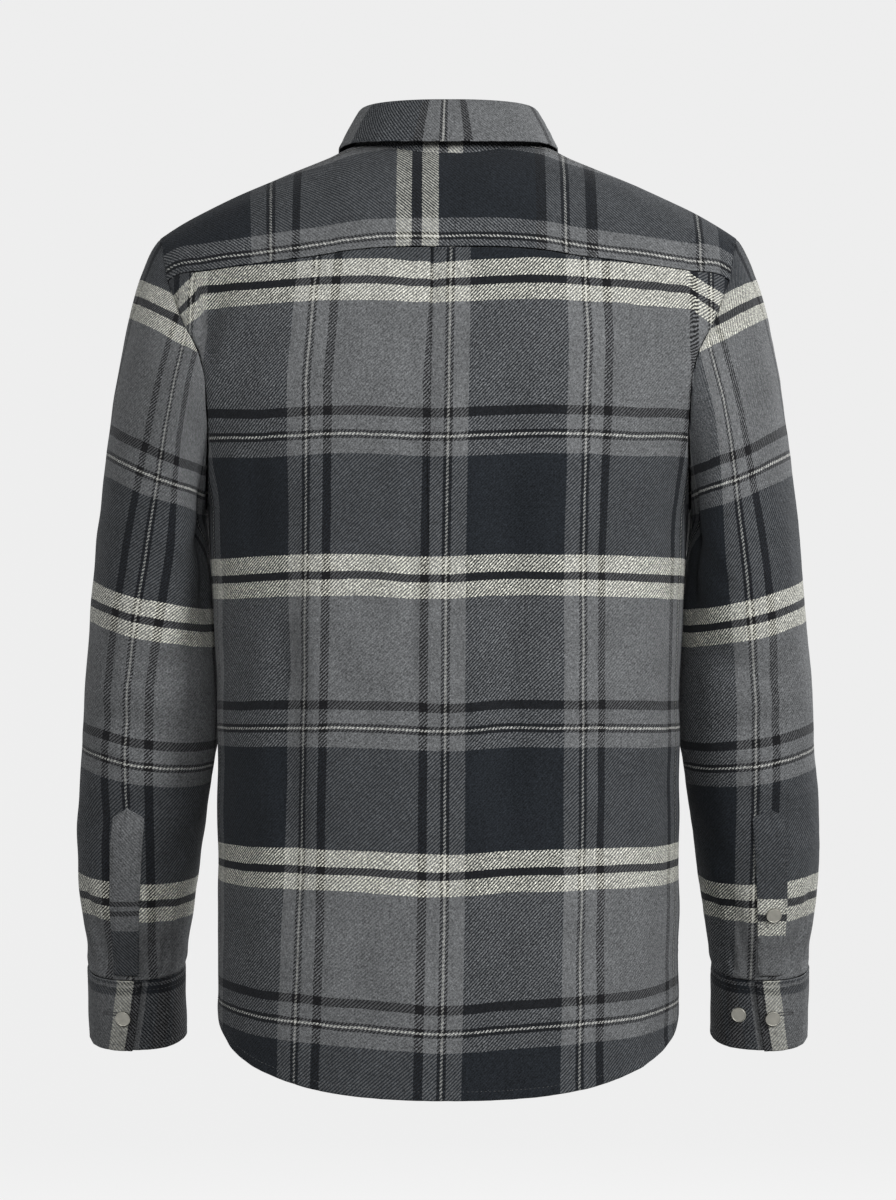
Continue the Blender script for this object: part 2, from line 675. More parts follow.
def plaid(name, warp, warp_start, weft, weft_start, tone=1.0, weft_share=0.56):
    """Brushed twill: two stripe charts woven on the diagonal, with nap, sheen and a soft raised weave."""
    graph = Graph(name)
    uv = graph.node("ShaderNodeUVMap", uv_map="cloth").outputs[0]
    flat = graph.node("ShaderNodeVectorMath", operation="SCALE", inputs={0: uv, "Scale": 1 / MM}).outputs[0]
    across, along = graph.node("ShaderNodeSeparateXYZ", inputs={0: flat}).outputs[:2]

    def noise(scale, detail, roughness=0.6):
        found = graph.noise(flat, scale, detail, roughness=roughness, noise_dimensions="2D")
        return graph.math("SUBTRACT", found, 0.5)

    # the stripes' edges are ragged, and the bands wander a little
    ragged = graph.times(noise(1.0, 1.0), 1.3)
    wander = graph.times(noise(0.02, 1.0), 2.2)
    warp_colour = stripes(graph, graph.total(across, ragged), warp, warp_start)
    weft_colour = stripes(graph, graph.total(along, ragged, wander), weft, weft_start)

    diagonal = graph.total(across, along, graph.times(ragged, 0.9))
    wave = graph.math("SINE", graph.times(diagonal, 2 * math.pi / TWILL_PITCH))
    fibre = noise(0.7, 3.0, 0.7)
    raised = graph.total(wave, graph.times(fibre, 2.4))
    least, most = max(weft_share - 0.5, 0.0), min(weft_share + 0.5, 1.0)
    ends = {0: raised, 1: -1.2, 2: 1.2, 3: least, 4: most}
    over = graph.node("ShaderNodeMapRange", inputs=ends, interpolation_type="SMOOTHSTEP").outputs[0]
    colour = graph.blend(over, warp_colour, weft_colour)

    # brushed nap: pale and dark fibres of either yarn, in small clumps and larger rubbed patches
    clump = noise(0.3, 3.0, 0.65)
    patch = noise(0.03, 3.0)
    shade = graph.total(fibre, graph.times(clump, 0.55), graph.times(patch, 0.2), graph.times(wave, 0.085), 1.0)
    shade = graph.times(shade, tone)
    grey = graph.node("ShaderNodeCombineColor", inputs={0: shade, 1: shade, 2: shade}).outputs[0]
    colour = graph.blend(1.0, colour, grey, "MULTIPLY")
    colour = graph.node("ShaderNodeGamma", inputs={"Color": colour, "Gamma": 2.2}).outputs[0]

    weave = graph.total(graph.times(wave, 0.3), graph.times(fibre, 1.8))
    return graph.finish(
        Base_Color=colour, Roughness=0.95, Specular_IOR_Level=0.1, Sheen_Weight=0.05, Sheen_Roughness=0.6,
        Sheen_Tint=(0.8, 0.82, 0.85, 1.0), Normal=graph.bump(weave, 0.8, 0.0005),
    )


def thread_material():
    graph = Graph("thread")
    noise = graph.noise(graph.node("ShaderNodeTexCoord").outputs["Object"], 900.0)
    colour = graph.blend(noise, srgb(38, 39, 41), srgb(74, 75, 77))
    return graph.finish(Base_Color=colour, Roughness=0.7, Sheen_Weight=0.1, Normal=graph.bump(noise, 0.4, 0.0002))


def metal_material():
    graph = Graph("button_metal")
    place = graph.node("ShaderNodeTexCoord").outputs["Object"]
    fine = graph.noise(place, 1600.0, 3.0)
    broad = graph.noise(place, 220.0)
    colour = graph.blend(broad, srgb(128, 127, 121), srgb(160, 158, 149))
    rough = graph.node("ShaderNodeMapRange", inputs={0: fine, 1: 0.3, 2: 0.7, 3: 0.3, 4: 0.48}).outputs[0]
    return graph.finish(Base_Color=colour, Metallic=0.8, Roughness=rough, Normal=graph.bump(fine, 0.25, 0.00008))


def studio_material(glow, paint):
    graph = Graph("studio_white")
    noise = graph.noise(graph.node("ShaderNodeTexCoord").outputs["Object"], 1.2)
    colour = graph.blend(noise, *((level, level, level, 1) for level in (paint, paint * 1.02)))
    return graph.finish(
        Base_Color=colour, Roughness=1.0, Specular_IOR_Level=0.0, Emission_Color=(1, 1, 1, 1), Emission_Strength=glow
    )


# Stripe charts in millimetres of flat cloth. D dark, G grey, W pale, K black, | a pale thread between two black ones.
WARP = "D76.5 L12 |7 L10 K6.5 G69.5 K7 L10.5 |7 L12"
WARP_START = 14.0
WEFT = "W12.5 K6.3 W13 G79.5 K6.8 G11 |7.2 G11 D79"
WEFT_START = 99.0
THREAD = thread_material()
METAL = metal_material()


def dress(piece, node):
    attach(piece, "root")
    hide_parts(node)


def sewing(name, lines, mirrored=False, **sizes):
    made = threads(name, lines, THREAD, mirrored=mirrored, **sizes)
    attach(made, "root")


# How much the bands droop at the sides and sag in the middle: levels below the neck, millimetres.
DROOP = [[99, 200, 326, 460, 555, 680], [5, 3.3, 4, 4, 1, -6.5]]
SAG = [[93, 178, 224, 275, 300, 330, 560, 600, 640, 684], [0, 0.4, 2.2, 2.6, 1.4, 0, 0, 0.2, 2.2, 3.0]]


def weft_place(points):
    """How far down the cloth a place on the torso is."""
    x, level = points[..., 0], -points[..., 2]
    sag = 3.6 * np.exp(-(((x - 8) / 45) ** 2)) + 1.6 * smooth(70, 180, x) * smooth(340, 240, level)
    sag = (sag + np.interp(level, *SAG)) * smooth(190, 140, np.abs(x))
    return level - np.interp(level, *DROOP) * (x / 180) ** 2 - sag


# ---------------------------------------------------------------- back panel
# The pleat under the yoke: unfolded x, folded x, depth, and how far across the hidden cloth the column lies.
PLEAT = [
    [40, 40, 0, 0], [36, 36, 0, 0], [32, 32, 0.05, 0], [28, 28, 0.15, 0], [24.5, 24, 0.3, 0], [21.5, 20.5, 0.4, 0],
    [19, 17.6, 0.35, 0], [17.2, 15.6, 0.1, 0], [16.2, 14.4, -0.35, 0], [15.4, 13.9, -0.95, 0.05],
    [14.8, 14.2, -1.6, 0.15], [14.3, 16.0, -2.5, 0.35], [13.8, 18.6, -3.6, 0.55], [13.2, 18.9, -4.9, 0.7],
    [12.6, 17.0, -5.8, 0.85], [12.0, 14.6, -6.1, 1], [11.0, 12.2, -5.8, 1], [9.6, 9.8, -5.1, 1], [7.5, 7.5, -4.2, 1],
    [5, 5, -3.4, 1], [2, 2, -2.6, 1], [-1.5, -1.5, -1.6, 1], [-5, -5, -1.1, 1], [-8.5, -8.5, -0.8, 1],
    [-11.5, -11.5, -0.7, 1], [-13.5, -13.5, -0.75, 1], [-15, -15, -0.3, 1], [-17, -17, 0, 1], [-20, -20, 0.05, 1],
    [-24, -24, 0, 1], [-28, -28, 0, 1], [-32, -32, 0, 1], [-36, -36, 0, 1], [-40, -40, 0, 1],
]


def back_columns():
    """Shares of the way from the pleat's cloth to each edge, finest by the edge."""
    reach = 172.0
    shares = np.sort(1 - spaced(np.array([reach]), 3.1, [0, 3.1])[:, 0] / reach)
    return shares[shares > 1e-9]


def build_back():
    shares = back_columns()
    middle = np.array(PLEAT)
    n = len(shares)
    mid = slice(n, n + len(middle))

    def place(row):
        """Angles of every column at rows of shape (n, columns)."""
        inner, edge = angle_of_x(0 * row + PLEAT_REACH, row), edge_angle(row)
        angles = np.empty(row.shape)
        angles[:, :n] = mix(inner[:, :n], edge[:, :n], shares[::-1])
        angles[:, mid] = angle_of_x(np.broadcast_to(middle[:, 0], row[:, mid].shape), row[:, mid])
        angles[:, mid.stop:] = -mix(inner[:, mid.stop:], edge[:, mid.stop:], shares)
        return angles

    columns = 2 * len(shares) + len(middle)
    top = np.full(columns, 0.6)
    for _ in range(8):
        u = place(top[None])[0] / edge_angle(top)
        top = yoke_back_row(np.abs(u)) + SEAM_ROW
    u_low = place(np.full((1, columns), 6.0))[0] / SIDE_ANGLE
    x_low = half_width_at(6) * power(np.sin(u_low * 90 * DEG), 2 / RING_POWER)
    bottom = hem_row(x_low, HEM_DIP_BACK)
    rows = column_rows(top, bottom, lambda r: torso_form(place(r), r), 3.2)
    angles = place(rows)
    plain = torso_form(angles, rows)
    normals = torso_normal(angles, rows)
    u = angles / edge_angle(rows)
    x, z = plain[..., 0], plain[..., 2]

    # the pleat is folded at the yoke and opens out down the back
    fade = 1 - smooth(-150, PLEAT_END - 20, z)
    pleat, shift, share = np.zeros((3, columns))
    pleat[mid], shift[mid], share[mid] = middle[:, 2], middle[:, 1] - middle[:, 0], middle[:, 3]
    share[mid.stop:] = 1

    calm = calm_near_seams(u, z)
    height = fold_depth(x, z, BACK_FOLDS) * calm
    points = plain.copy()
    points[..., 0] += shift * fade
    cloth = Cloth(points, torso_outward(plain))
    cloth.normals = normals
    edge = np.minimum(cloth.left, cloth.right)
    seam_calm = calm_edges(14, cloth.down, edge)
    height = height + pleat * fade * smooth(-1, 2.0, cloth.down)
    height += 0.55 * ripple(x, z, 62, 3) * seam_calm + 0.22 * ripple(x, z * 0.7, 24, 4) * seam_calm
    height += fold_depth(x, z, BACK_CREASES) * smooth(0, 6, cloth.down)
    # turned hem, joined along two stitch lines
    height += 0.5 * smooth(9.2, 7.6, cloth.up) + groove(cloth.up, 6.8) + pucker(x, cloth.up, 14, 5, 0.5, 11)
    height += pucker(x, cloth.down, 10, 6, 0.35, 8) - 0.5 * smooth(2.2, 0, cloth.down)
    height += pucker(z, edge, 9, 7, 0.35, 9)
    cloth.points = cloth.points + cloth.normals * height[..., None]
    cloth.normals = grid_normals(cloth.points, False, torso_outward(plain))

    # place on the flat cloth: the pale lines' own positions, with the cloth that the pleat hides
    run = run_across(plain)
    centre = np.argmin(np.abs(x[40]))
    run = run[:, centre:centre + 1] - run + x[:, centre:centre + 1]
    middle_x, left_x, right_x = (np.interp(-z[:, centre], *line) for line in (MIDDLE_LINE, LEFT_LINE, RIGHT_LINE))
    across = np.empty(x.shape)
    for i in range(len(x)):
        s_mid, s_left, s_right = (np.interp(at[i], x[i, ::-1], run[i, ::-1]) for at in (middle_x, left_x, right_x))
        actual = run[i] + shift * fade[i]
        spare = LEFT_SPACING - (s_left - s_mid)
        t = np.clip((actual - s_mid) / (s_left - s_mid), 0, 1)
        hidden = fade[i] * (1 - share) + (1 - fade[i]) * t
        toward_left = -(actual - s_mid) - spare * hidden
        toward_right = (s_mid - actual) * RIGHT_SPACING / (s_mid - s_right)
        toward_right = np.where(actual < s_right, RIGHT_SPACING + (s_right - actual), toward_right)
        across[i] = np.where(actual < s_mid, toward_right, toward_left)
    cloth.uv = np.stack([across, weft_place(plain)], -1)
    # the strip outside the crease beside each armhole slips down
    crease_left, crease_right = (np.interp(-z, CREASE_LEVELS, half) for half in (CREASE_LEFT, CREASE_RIGHT))
    outside = np.abs(x) - np.where(x > 0, crease_left, crease_right)
    cloth.uv[..., 1] -= 3.0 * smooth(-2, 2, outside) + np.where(x > 0, 0.72, 0.55) * np.clip(outside, 0, 30)
    return cloth


# Where the three pale lines run down the back: levels below the neck and x, and their spacing on the flat cloth.
MIDDLE_LINE = [[93, 333, 605, 739], [-3.6, 0.4, 1.6, 4.2]]
LEFT_LINE = [[96, 191, 331, 605, 725], [101.3, 109.2, 108.4, 114.5, 118.8]]
RIGHT_LINE = [[95, 159, 331, 590, 735], [-104.0, -106.5, -101.1, -101.9, -99.3]]
LEFT_SPACING = 112.5
RIGHT_SPACING = 105.5

# The crease beside each armhole: levels below the shoulder ridge and half widths on the wearer's left and right.
CREASE_LEVELS = [100, 118, 127, 146, 165, 185, 200]
CREASE_LEFT = [200, 197, 194, 191.5, 190, 196, 220]
CREASE_RIGHT = [186, 189, 193, 192, 187, 192, 220]

# Shallow creases of the back: soft dents that hang from the yoke, the underarms and the pleat.
BACK_CREASES = [
    [196, -108, 190, -176, 5, -1.8], [-188, -108, -188, -176, 5, -1.8],
    [150, -150, 170, -240, 16, -1.8], [-150, -150, -172, -236, 13, -2.4], [-112, -118, -150, -188, 12, -1.8],
    [124, -370, 122, -590, 12, -3.6], [146, -250, 140, -340, 11, -1.6], [104, -300, 100, -560, 9, 1.4],
    [-44, -210, -44, -620, 13, -3.4], [27, -110, 26, -420, 9, -3.2], [17.5, -100, 17, -340, 3.2, -2.2],
    [-18, -300, -20, -600, 10, 1.6], [26, -340, 30, -450, 8, -2.2],
    [-132, -300, -128, -560, 13, -3.0], [-100, -260, -98, -560, 12, 1.8], [-160, -330, -158, -620, 11, 1.6],
    [64, -560, 70, -690, 16, -1.8], [-70, -560, -62, -690, 16, 1.6], [160, -520, 164, -640, 10, -1.6],
]


def build_yoke():
    corner_u, corner_row = (float(v) for v in neck_coordinates(NECK_HALF_WIDTH - 0.01, -SHOULDER_SEAM_FORWARD))

    def shoulder_row(u):
        return SEAM_ROW - float(yoke_front_row(u))

    def neck_place(turn):
        x, y = neck_plan(turn)
        return [float(v) for v in neck_coordinates(float(x), max(float(y), 0.01))]

    def half(k):
        """Top and bottom ends of the columns at fractional knots: 0 at the armhole, 15 at the middle."""
        u = np.empty(len(k))
        row = np.empty(len(k))
        for n, at in enumerate(k):
            if at <= 6:
                u[n] = np.interp(at, np.arange(7), SHOULDER_U[::-1])
                row[n] = shoulder_row(u[n])
            elif at <= 7:
                u[n] = mix(SHOULDER_U[0], corner_u, at - 6)
                row[n] = mix(shoulder_row(SHOULDER_U[0]), corner_row + SEAM_ROW, at - 6)
            elif at <= 8:
                u[n], row[n] = corner_u, mix(corner_row + SEAM_ROW, corner_row / 2, at - 7)
            elif at <= 9:
                u[n], row[n] = (mix(a, b, at - 8) for a, b in zip((corner_u, corner_row / 2), neck_place(0.0)))
            else:
                u[n], row[n] = neck_place(np.interp(at, np.arange(9, 16), NECK_BACK_TURNS))
        return u, row, np.interp(k, np.arange(16), BACK_U[::-1])

    fine = np.concatenate([[0, 0.05, 0.12, 0.2, 0.3, 0.42, 0.56, 0.72, 0.86], np.linspace(1, 15, 100)])
    u, row, low = half(fine)
    u = np.concatenate([u, -u[-2::-1]])
    row = np.concatenate([row, row[-2::-1]])
    low = np.concatenate([low, -low[-2::-1]])
    bottom = yoke_back_row(np.abs(low)) - SEAM_ROW
    trial = np.linspace(0, 1, 200)[:, None]
    us, rs = mix(u, low, trial), mix(row, bottom, trial)
    length = run_down(torso_form(us * edge_angle(rs), rs))
    wanted = spaced(length[-1], 3.0)
    share = np.stack([np.interp(wanted[:, j], length[:, j], trial[:, 0]) for j in range(len(u))], 1)
    us, rs = mix(u, low, share), mix(row, bottom, share)
    angles = us * edge_angle(rs)
    plain = torso_form(angles, rs)
    normals = torso_normal(angles, rs)
    x, z = plain[..., 0], plain[..., 2]
    cloth = Cloth(plain, torso_outward(plain))
    cloth.normals = normals
    calm = calm_near_seams(us, z)
    edge = np.minimum(cloth.left, cloth.right)
    height = fold_depth(x, z, BACK_FOLDS) * calm
    height += 0.3 * ripple(x, cloth.down, 48, 11) * calm_edges(14, cloth.down, cloth.up, edge)
    height += 0.55 * smooth(6.5, 3, cloth.up) + groove(cloth.up, 2.6, 0.8, 0.3) + pucker(x, cloth.up, 10, 12, 0.3, 8)
    height += pucker(x, cloth.down, 8, 13, 0.25, 8) + groove(cloth.down, 2.6, 0.8, 0.25)
    height += pucker(cloth.down, edge, 8, 14, 0.3, 8)
    cloth.points = plain + normals * height[..., None]
    cloth.normals = grid_normals(cloth.points, False, torso_outward(plain))
    lean = smooth(90, 190, x) * cloth.up * 0.075
    cloth.uv = np.stack([-(x - lean), cloth.up], -1)
    return cloth


# ---------------------------------------------------------------- fronts
def build_front(side):
    """Wearer's left (side 1) laps over the right. Columns keep their x near the middle, their share further out."""
    x_columns = np.concatenate([[-FRONT_LAP + d for d in EDGE_STEPS], np.arange(0.0, 75, 3.4), [74.9]])
    u_from = SHOULDER_U[0]
    blends = np.linspace(0, 1, 8)[1:-1]
    outer = 1 - spaced(np.array([150.0]), 3.6, [0, 3.6])[:, 0] / 150.0
    u_columns = np.sort(u_from + (1 - u_from) * outer[outer >= 0])
    u_columns[0] = u_from

    def top_of_x(x):
        plan_x, plan_y = neck_plan(neck_turn_of_x(np.abs(x)))
        return SEAM_ROW - neck_coordinates(plan_x, plan_y)[1]

    tops, bottoms = top_of_x(x_columns), hem_row(x_columns, HEM_DIP_FRONT)
    u_tops = yoke_front_row(u_columns) + SEAM_ROW
    u_x = half_width_at(6) * np.sin(u_columns * 90 * DEG) ** (2 / RING_POWER)
    u_bottoms = hem_row(u_x, HEM_DIP_FRONT)
    top = np.concatenate([tops, mix(tops[-1], u_tops[0], blends), u_tops])
    bottom = np.concatenate([bottoms, mix(bottoms[-1], u_bottoms[0], blends), u_bottoms])
    nx, nb = len(x_columns), len(blends)

    def angles_at(row):
        edge = edge_angle(-row)
        angle = np.empty(row.shape)
        angle[:, :nx] = angle_of_x(x_columns + 0 * row[:, :nx], row[:, :nx])
        angle[:, nx + nb:] = u_columns * edge[:, nx + nb:]
        first = angle_of_x(x_columns[-1] + 0 * row[:, nx:nx + nb], row[:, nx:nx + nb])
        angle[:, nx:nx + nb] = mix(first, u_from * edge[:, nx:nx + nb], blends)
        return angle

    rows = column_rows(top, bottom, lambda r: torso_form(angles_at(r), -r), 3.5)
    angles = angles_at(rows)
    plain = torso_form(angles, -rows)
    normals = torso_normal(angles, -rows)
    x, z = plain[..., 0], plain[..., 2]
    u = angles / edge_angle(-rows)
    under = LAP_DROP * smooth(FRONT_LAP + 18, FRONT_LAP + 3, x) if side < 0 else 0 * x
    lift = fold_depth(x * side, z, FRONT_FOLDS) * calm_near_seams(u, z) - under
    cloth = Cloth(plain + normals * lift[..., None], torso_outward(plain))
    seam = calm_edges(14, cloth.down, cloth.right) * smooth(34, 60, cloth.left)
    height = (0.55 * ripple(x, z, 60, 21 + side) + 0.2 * ripple(x, z, 24, 25 + side)) * seam
    height += 0.5 * smooth(9.2, 7.6, cloth.up) + groove(cloth.up, 6.8) + pucker(x, cloth.up, 14, 27, 0.5, 11)
    height += pucker(x, cloth.down, 10, 28, 0.3, 8) + pucker(z, cloth.right, 9, 29, 0.35, 9)
    if side > 0:
        band = cloth.left
        height += 0.45 * smooth(34.8, 33.4, band) + groove(band, 30.5) + groove(band, 3.2)
        height += pucker(z, np.abs(band - 32), 7, 30, 0.3, 9) + pucker(z, band, 6, 31, 0.25, 9)
    cloth.lift(height)
    run = run_across(plain)
    zero = np.array([np.interp(0, x[i], run[i]) for i in range(len(x))])
    cloth.uv = np.stack([-(run - zero[:, None]) * side, weft_place(plain)], -1)
    return cloth


# ---------------------------------------------------------------- collar
def collar_place(turn):
    beyond = np.abs(turn) > 180
    side = np.where(turn < 0, -1, 1) * np.where(beyond, -1, 1)
    return side, np.where(beyond, np.abs(turn) - 270, 90 - np.abs(turn))


def stand_lean(angle):
    share = np.sin(angle * DEG)
    return STAND_LEAN_SIDE * np.cos(angle * DEG), np.where(angle >= 0, STAND_LEAN_BACK, STAND_LEAN_FRONT) * share


def stand_point(turn, t):
    turn, t = np.broadcast_arrays(np.asarray(turn, float), np.asarray(t, float))
    side, angle = collar_place(turn)
    base = neck_point(angle)
    lean_x, lean_y = stand_lean(angle)
    rise = t**1.15
    step = smooth(156, 168, np.abs(turn)) * STAND_LAP_STEP * np.sign(turn)
    out = unit(base * [1, 1, 0])
    x = base[..., 0] - lean_x * rise + out[..., 0] * step
    y = base[..., 1] - lean_y * rise + out[..., 1] * step
    z = mix(base[..., 2] - 0.8, stand_top_at(angle), t)
    return np.stack([side * x, y, z], -1)


STAND_END_STEPS = [0, 0.5, 1.1, 1.9, 3]


def build_stand():
    end = 270 + float(neck_turn_of_x(17.0))
    turns = spaced(np.array([2.0 * end]), 1.6, STAND_END_STEPS, STAND_END_STEPS)[:, 0] - end
    levels = np.linspace(1, 0, 14)[:, None]
    grid = stand_point(turns[None] + 0 * levels, levels + 0 * turns[None])
    cloth = Cloth(grid, grid * [1, 1, 0])
    cloth.lift(groove(cloth.down, 3.0, 0.8, 0.2) + groove(cloth.up, 2.6, 0.8, 0.2))
    cloth.uv = np.stack([-(cloth.left - cloth.left[:, -1:] / 2), cloth.up], -1)
    return cloth


def build_leaf():
    half = np.concatenate([[-84, -83.6, -83, -82.2, -81.2, -80], np.linspace(-78.4, 90, 86)])
    lines = []
    for angle in half:
        plain = neck_point(angle)
        lean_x, lean_y = stand_lean(angle)
        top = np.array([plain[0] - lean_x, plain[1] - lean_y, float(stand_top_at(angle))])
        out = unit(top * [1, 1, 0])
        bend = np.array([top + out * (reach - 1) + [0, 0, up] for reach, up in LEAF_FOLD])
        fine = np.linspace(0, len(bend) - 1, 17)
        bend = np.stack([np.interp(fine, np.arange(len(bend)), bend[:, k]) for k in range(3)], 1)
        for _ in range(3):
            bend[1:-1] = (bend[:-2] + 2 * bend[1:-1] + bend[2:]) / 4
        start = bend[-1]
        end = np.array([float(f(angle)) for f in leaf_edge_at])
        control = start + (end - start) * 0.42 + out * 1.4
        chord = np.linalg.norm(end - start)
        ts = 1 - spaced(np.array([chord]), 2.2, [0, 1.5, 3])[:, 0][::-1] / chord
        ts = np.sort(np.clip(ts, 0, 1))[1:]
        ts = np.interp(np.linspace(0, 1, 26), np.linspace(0, 1, len(ts)), ts)
        a = start + (control - start) * ts[:, None]
        b = control + (end - control) * ts[:, None]
        lines.append(np.concatenate([bend, a + (b - a) * ts[:, None]]))
    left = np.array(lines)
    right = left[-2::-1] * [-1, 1, 1]
    grid = np.concatenate([left, right]).swapaxes(0, 1)
    outward = grid.copy()
    outward[..., 2] = 60
    outward[:5] = grid[:5] * [-1, -1, 0]
    outward[5:16] = grid[5:16] * [1, 1, 0] + [0, 0, 400]
    cloth = Cloth(grid, outward)
    edge = np.minimum(cloth.left, cloth.right)
    height = groove(cloth.up, 5.0, 0.9, 0.28) + groove(edge, 5.0, 0.9, 0.28)
    height += 0.25 * ripple(cloth.left, cloth.up, 30, 41) * smooth(0, 10, cloth.up) * smooth(12, 24, cloth.down)
    height += pucker(cloth.left, cloth.up, 9, 42, 0.22, 9)
    cloth.lift(height)
    run = cloth.left[-1:]
    cloth.uv = np.stack([run - run[:, len(half) - 1:len(half)] + 0 * cloth.down, cloth.up], -1)
    return cloth


# ---------------------------------------------------------------- sleeves
def armhole_edge():
    """Armhole edge of the wearer's left side by length: 0 underarm, 180 shoulder tip, 360 underarm."""
    halves = []
    for face in (1, -1):
        steps = np.linspace(0, 1, 1200)
        row = face * np.maximum(UNDERARM_ROW - (math.sqrt(UNDERARM_ROW) * steps) ** 2, 1e-4)
        angle = edge_angle(row * (1 - 1e-9))
        points = torso_form(angle, row)
        halves.append((run_down(points), points, torso_normal(angle, row)))

    def at(angle):
        angle = np.asarray(angle, float)
        found = []
        for k in (1, 2):
            sides = []
            for run, share in ((halves[0], angle / 180), (halves[1], (360 - angle) / 180)):
                wanted = np.clip(share, 0, 1) * run[0][-1]
                sides.append(np.stack([np.interp(wanted, run[0], run[k][:, c]) for c in range(3)], -1))
            found.append(np.where((angle <= 180)[..., None], sides[0], sides[1]))
        return found

    return at


armhole_at = armhole_edge()


def sleeve_ring(angle, z):
    angle, z = np.broadcast_arrays(np.asarray(angle, float), np.asarray(z, float))
    outer, inner, pitch = sleeve_outer(-z), sleeve_inner(-z), sleeve_pitch(-z) * DEG
    across = -power(np.cos(angle * DEG), 2 / SLEEVE_POWER) * (outer - inner) / 2
    deep = power(np.sin(angle * DEG), 2 / SLEEVE_POWER) * sleeve_depth(-z)
    return np.stack([(outer + inner) / 2 + across, sleeve_y(-z) + deep * np.cos(pitch), z - deep * np.sin(pitch)], -1)


def cap_point(angle, t):
    angle, t = np.broadcast_arrays(np.asarray(angle, float), np.asarray(t, float))
    turn = angle * DEG
    point, normal = armhole_at(angle)
    high = ((1 - np.cos(turn)) / 2) ** 0.8
    low = (1 + np.cos(turn)) / 2
    bulge = np.sin(turn) ** 2
    lead = unit(np.stack([mix(0.3, 0.68, high) + bulge * 0.26, np.sin(turn) * 0.14, mix(-0.95, -0.74, high)], -1))
    landing = sleeve_ring(angle, SLEEVE_TOP)
    fall = unit(sleeve_ring(angle, SLEEVE_TOP - 8) - landing)
    start = point + lead * (SEAM_GAP + 0.15) + normal * (1.3 * low**2 + 0.6 * bulge)[..., None]
    reach, land = mix(26, 167, high), mix(60, 12, high)
    t = t[..., None]
    result = start * (1 + 2 * t) * (1 - t) ** 2 + lead * t * (1 - t) ** 2 * reach[..., None]
    return result + landing * t * t * (3 - 2 * t) - fall * t * t * (1 - t) * land[..., None]


def sleeve_outward(points):
    """Away from the middle line that runs from the armhole's centre down into the sleeve."""
    z = np.clip(points[..., 2], SLEEVE_END, SLEEVE_TOP)
    centre_x = (sleeve_outer(-z) + sleeve_inner(-z)) / 2
    low = np.stack([points[..., 0] - centre_x, points[..., 1] - sleeve_y(-z), 0 * z], -1)
    top, end = np.array([188.0, 0, -205]), np.array([235.0, -15, -362])
    share = np.clip((points - top) @ (end - top) / np.sum((end - top) ** 2), 0, 1)
    high = points - top - share[..., None] * (end - top)
    return np.where((points[..., 2] > -330)[..., None], high, low)


def seam_normal(angles, own):
    """The edge follows the panels' own, and turns down under the arm where the two walls fold back to back."""
    low = smooth(0.5, 1, (1 + np.cos(angles * DEG)) / 2)[..., None]
    return unit(armhole_at(angles)[1] * (1 - low / 2) + own * low / 2 - np.array([0, 0, 0.6]) * low)


# Creases of a sleeve beside the CAD part's own. angle0, z0, angle1, z1, width, depth
SLEEVE_CREASES = [
    [20, -300, 70, -352, 9, -2.2], [12, -340, 52, -392, 8, -2.0], [100, -500, 170, -480, 10, -1.2],
    [18, -540, 60, -575, 9, -1.8], [28, -600, 50, -655, 8, -1.8], [330, -560, 296, -600, 10, -1.8],
    [196, -560, 210, -655, 10, -1.4], [260, -500, 300, -560, 12, -1.6],
    [64, -200, 26, -224, 6, 1.9], [52, -222, 24, -248, 8, -3.8], [24, -256, 22, -400, 8, -3.0],
    [36, -196, 20, -330, 11, -5.0],
]
# The little tucks where the sleeve meets the cuff: angle, width, depth
CUFF_TUCKS = [[150, 6.5, -5.0], [122, 6.0, -1.8], [52, 6, -2.2]]
SHOULDER_EASE = 17.0
SEAM_TURNS = [0, 0.8, 1.8, 3, 357, 358.2, 359.2]
# Where the pale line runs down the back of each sleeve: levels below the neck and x.
SLEEVE_LINE = {
    1: [
        [154, 189, 224, 266, 332, 371, 430, 486, 525, 661],
        [204.6, 212.2, 219.5, 226.0, 237.5, 244.6, 254.2, 256.6, 257.0, 258.0],
    ],
    -1: [
        [162, 204, 235, 282, 340, 379, 446, 505, 525, 661],
        [201.9, 212.9, 218.4, 224.7, 232.7, 237.0, 242.7, 243.7, 244.0, 245.0],
    ],
}


def on_arc(folds):
    """Folds whose places round a sleeve are angles, with those turned into lengths."""
    return [[a0 * FOLD_ARC, z0, a1 * FOLD_ARC, z1, width, depth] for a0, z0, a1, z1, width, depth in folds]


